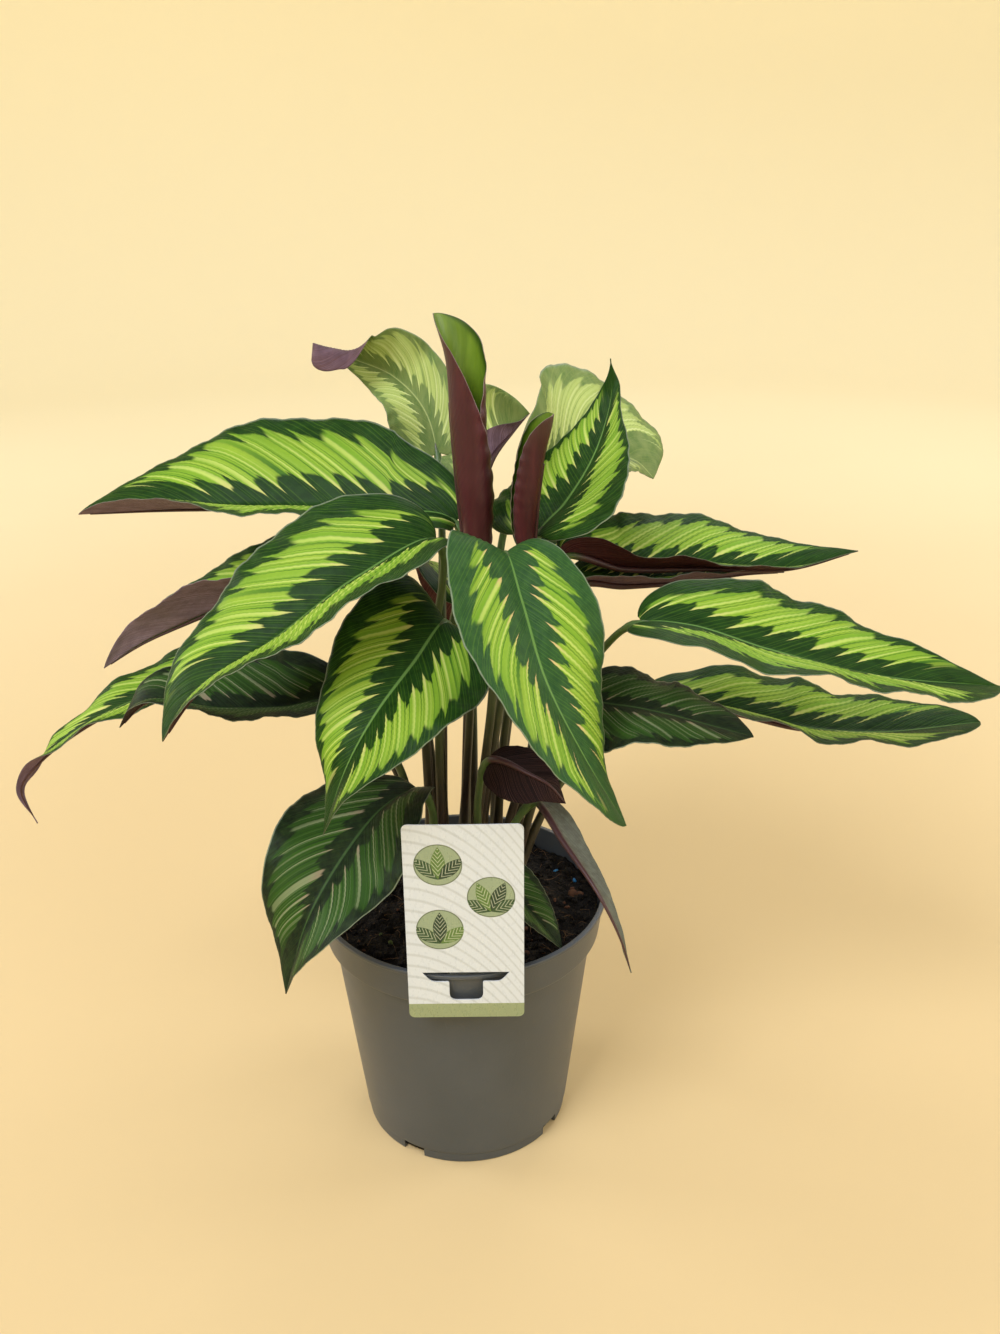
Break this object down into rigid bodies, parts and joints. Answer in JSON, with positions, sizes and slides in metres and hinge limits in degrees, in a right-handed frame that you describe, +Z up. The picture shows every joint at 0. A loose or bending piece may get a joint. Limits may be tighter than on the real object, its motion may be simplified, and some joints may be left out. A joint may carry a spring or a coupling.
{
  "type": "potted calathea",
  "caption": "Prayer plant with long pointed leaves striped yellow-green on dark green, maroon rolled young leaves, a grey plastic nursery pot of soil and a hang tag on its rim.",
  "frame": {"origin": "centre of the pot's flat base, on the surface that the pot stands on", "axes": "+Z up along the pot's axis, -Y to the front where the hang tag is, +X to the right seen from the front"},
  "size_m": [0.554, 0.3334, 0.4831],
  "materials": {
    "pot": "satin",
    "soil": "matte",
    "tag": "satin",
    "leaf_bright": "satin",
    "leaf_dark": "satin",
    "leaf_rolled": "satin"
  },
  "bodies": {
    "root": {"pot": "pot", "soil": "soil", "hang_tag": "tag", "leaf_upper_left": "leaf_bright", "leaf_left_front": "leaf_bright", "leaf_centre_front": "leaf_bright", "leaf_left_centre": "leaf_bright", "leaf_back_left": "leaf_bright", "leaf_upper_right": "leaf_bright", "leaf_back_right": "leaf_bright", "leaf_right_upper": "leaf_bright", "leaf_right_middle": "leaf_bright", "leaf_right_front": "leaf_bright", "leaf_right_low": "leaf_bright", "leaf_right_lower": "leaf_dark", "leaf_left_middle": "leaf_bright", "leaf_left_low": "leaf_dark", "leaf_left_lowest": "leaf_bright", "leaf_over_rim_left": "leaf_dark", "leaf_over_rim_right": "leaf_dark", "rolled_leaf_tall": "leaf_rolled", "rolled_leaf_short": "leaf_rolled", "leaf_behind_rolled": "leaf_bright", "leaf_low_middle": "leaf_dark", "leaf_on_soil": "leaf_dark", "leaf_rear_left": "leaf_bright", "leaf_rear_middle": "leaf_bright", "leaf_rear_right": "leaf_bright"}
  },
  "joints": []
}
